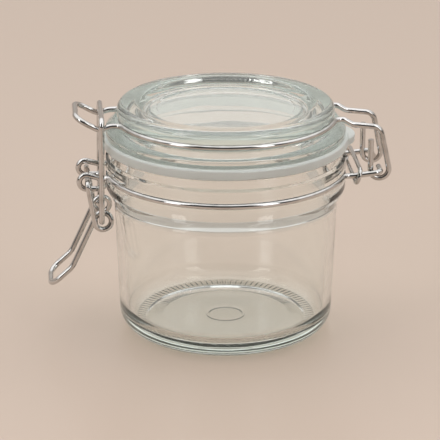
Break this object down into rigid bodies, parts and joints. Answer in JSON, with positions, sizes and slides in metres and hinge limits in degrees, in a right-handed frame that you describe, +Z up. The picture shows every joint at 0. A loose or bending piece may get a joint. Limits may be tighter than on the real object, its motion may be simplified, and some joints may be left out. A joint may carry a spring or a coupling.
{
  "type": "clip-top jar",
  "caption": "Empty squat glass jar with a glass lid, rubber seal and wire bail closure: hinge on one side, over-centre lever and link on the other.",
  "frame": {"origin": "centre of the foot, on the jar's axis, in the plane that the jar stands on", "axes": "+Z up along the jar's axis, +X towards the hinge, -X towards the latch, Y across the wires"},
  "size_m": [0.1216, 0.0868, 0.0835],
  "materials": {
    "jar_glass": "clear soda-lime glass, faint green in the thick parts",
    "lid_glass": "clear pressed glass, faint green at the edges",
    "gasket": "translucent milky rubber",
    "neck_wire": "bright plated wire",
    "keeper_ring": "bright plated wire",
    "lid_wire": "bright plated wire",
    "lever": "bright plated wire",
    "link": "bright plated wire"
  },
  "bodies": {
    "jar": {"jar_glass": "jar_glass", "neck_wire": "neck_wire", "keeper_ring": "keeper_ring"},
    "lid": {"lid_glass": "lid_glass", "gasket": "gasket", "lid_wire": "lid_wire"},
    "lever": {"lever": "lever"},
    "link": {"link": "link"}
  },
  "joints": [
    {"name": "lid_hinge", "type": "hinge", "parent": "jar", "child": "lid", "pos_m": [0.0537, 0, 0.0598], "axis": [0, 1, 0], "range_deg": [0, 180]},
    {"name": "lever_pivot", "type": "hinge", "parent": "jar", "child": "lever", "pos_m": [-0.04917, 0, 0.0574], "axis": [0, 1, 0], "range_deg": [0, 150]},
    {"name": "link_pivot", "type": "hinge", "parent": "lever", "child": "link", "pos_m": [-0.0445, 0, 0.0436], "axis": [0, 1, 0], "range_deg": [-97, 0]}
  ],
  "couplings": [
    {"joint": "link_pivot", "follows": "lever_pivot", "ratio": -0.64}
  ]
}
